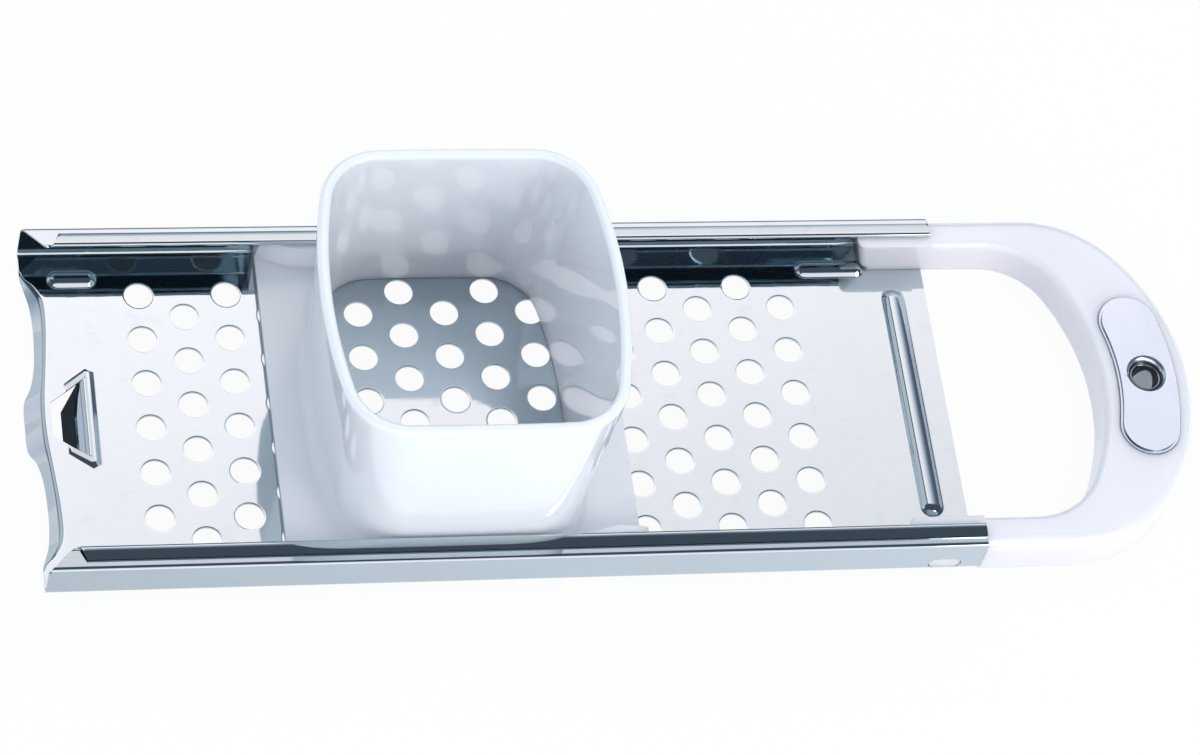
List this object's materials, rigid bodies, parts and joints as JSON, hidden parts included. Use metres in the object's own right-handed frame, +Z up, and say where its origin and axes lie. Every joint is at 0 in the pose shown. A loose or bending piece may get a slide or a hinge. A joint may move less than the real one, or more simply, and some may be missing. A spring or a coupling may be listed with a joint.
{
  "type": "spaetzle maker",
  "caption": "Spaetzle maker: a perforated steel tray with rails and a pot hook, a sliding dough hopper and a hoop handle with a hanging hole.",
  "frame": {"origin": "middle of the bounding box at its lowest point, under the tray", "axes": "+X along the tray from the pot end to the handle, +Z up out of the hopper's mouth"},
  "size_m": [0.406, 0.132, 0.087],
  "materials": {
    "tray_steel": "mirror-polished stainless steel",
    "hopper_plastic": "glossy white",
    "handle_plastic": "glossy white",
    "inlay_metal": "fine satin",
    "eyelet_chrome": "polished"
  },
  "bodies": {
    "frame": {"tray": "tray_steel", "handle": "handle_plastic", "handle_inlay": "inlay_metal", "hanging_eyelet": "eyelet_chrome"},
    "hopper": {"hopper": "hopper_plastic"}
  },
  "joints": [
    {"name": "hopper_slide", "type": "slide", "parent": "frame", "child": "hopper", "axis": [1, 0, 0], "range_m": [-0.0541, 0.0706]}
  ]
}
